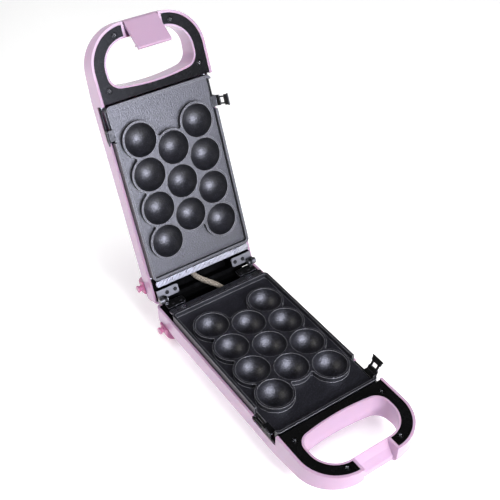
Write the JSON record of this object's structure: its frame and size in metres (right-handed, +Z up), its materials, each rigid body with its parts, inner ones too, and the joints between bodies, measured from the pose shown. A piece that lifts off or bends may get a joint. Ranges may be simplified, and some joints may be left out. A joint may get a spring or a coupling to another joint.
{
  "type": "cake pop maker",
  "caption": "Countertop cooker with a hinged lid: two moulded halves with staggered half-round cavity plates, looped handles, a drop latch, plate clips and rear foot bars.",
  "frame": {"origin": "centre of the open maker's bounding box, on the plane it rests on", "axes": "+Z up, +Y from the handle of the base towards the hinge and the raised lid, +X to the right seen from the handle end"},
  "size_m": [0.15, 0.4384, 0.3283],
  "materials": {
    "shell_gloss": "moulded, high gloss",
    "accent_gloss": "moulded, high gloss, deeper tone",
    "trim_black": "moulded, gloss black",
    "non_stick": "die-cast with a speckled black non-stick coating, satin",
    "steel_bright": "bright sheet steel",
    "screw_steel": "plated",
    "tray_aluminium": "aluminised pressed sheet",
    "element_sheath": "oxidised metal sheath",
    "block_black": "heat-resistant, matt",
    "foot_rubber": "matt",
    "lens_black": "dark translucent, polished",
    "lamp_glass": "clear",
    "braid": "woven glass-fibre sleeve",
    "sensor_metal": "plain pressed metal"
  },
  "bodies": {
    "base": {"base_bar_screws": "screw_steel", "base_casing": "shell_gloss", "base_clip_pins": "steel_bright", "base_foot_bar": "accent_gloss", "base_foot_screw": "screw_steel", "base_front_feet": "foot_rubber", "base_handle_trim": "trim_black", "base_heater_tray": "tray_aluminium", "base_heating_element": "element_sheath", "base_hinge_block": "block_black", "base_hinge_leaves": "steel_bright", "base_hinge_pins": "steel_bright", "base_hinge_rivets": "steel_bright", "base_plate": "non_stick", "base_retaining_bar": "steel_bright", "base_tray_screws": "screw_steel", "base_trim_screws": "screw_steel", "cord_gland": "trim_black", "lead_sleeve": "braid", "terminal_block": "block_black", "thermostat": "sensor_metal"},
    "lid": {"indicator_bezel": "accent_gloss", "indicator_lamp": "lamp_glass", "indicator_lens": "lens_black", "lid_bar_screws": "screw_steel", "lid_casing": "shell_gloss", "lid_clip_pins": "steel_bright", "lid_foot_bar": "accent_gloss", "lid_foot_screw": "screw_steel", "lid_handle_trim": "trim_black", "lid_heater_tray": "tray_aluminium", "lid_heating_element": "element_sheath", "lid_hinge_block": "block_black", "lid_hinge_leaves": "steel_bright", "lid_hinge_rivets": "steel_bright", "lid_plate": "non_stick", "lid_retaining_bar": "steel_bright", "lid_tray_screws": "screw_steel", "lid_trim_screws": "screw_steel", "thermal_fuse": "sensor_metal"},
    "latch_carrier": {"latch_pin": "steel_bright"},
    "latch": {"latch": "shell_gloss"},
    "base_clip_right": {"base_clip_right": "steel_bright"},
    "base_clip_left": {"base_clip_left": "steel_bright"},
    "lid_clip_right": {"lid_clip_right": "steel_bright"},
    "lid_clip_left": {"lid_clip_left": "steel_bright"}
  },
  "joints": [
    {"name": "lid_hinge", "type": "hinge", "parent": "base", "child": "lid", "pos_m": [0, 0.08431, 0.048], "axis": [1, 0, 0], "range_deg": [0, 112.44], "deforming": ["lead_sleeve"]},
    {"name": "latch_drop", "type": "hinge", "parent": "lid", "child": "latch_carrier", "pos_m": [0, 0.20133, 0.32349], "axis": [-1, 0, 0], "range_deg": [0, 52.1]},
    {"name": "latch_lift", "type": "hinge", "parent": "latch_carrier", "child": "latch", "pos_m": [0, 0.20133, 0.32349], "axis": [-1, 0, 0], "range_deg": [0, 25]},
    {"name": "base_clip_right_swing", "type": "hinge", "parent": "base", "child": "base_clip_right", "pos_m": [0.0657, -0.12669, 0.036], "axis": [0, 1, 0], "range_deg": [0, 20], "stiffness_Nm_per_rad": 0.02},
    {"name": "base_clip_left_swing", "type": "hinge", "parent": "base", "child": "base_clip_left", "pos_m": [-0.0657, -0.12669, 0.036], "axis": [0, -1, 0], "range_deg": [0, 20], "stiffness_Nm_per_rad": 0.02},
    {"name": "lid_clip_right_swing", "type": "hinge", "parent": "lid", "child": "lid_clip_right", "pos_m": [0.0657, 0.16945, 0.22273], "axis": [0, 0.3817, 0.9243], "range_deg": [0, 20], "stiffness_Nm_per_rad": 0.02},
    {"name": "lid_clip_left_swing", "type": "hinge", "parent": "lid", "child": "lid_clip_left", "pos_m": [-0.0657, 0.16945, 0.22273], "axis": [0, -0.3817, -0.9243], "range_deg": [0, 20], "stiffness_Nm_per_rad": 0.02}
  ],
  "couplings": [
    {"joint": "latch_drop", "follows": "lid_hinge", "ratio": 0.46247}
  ]
}
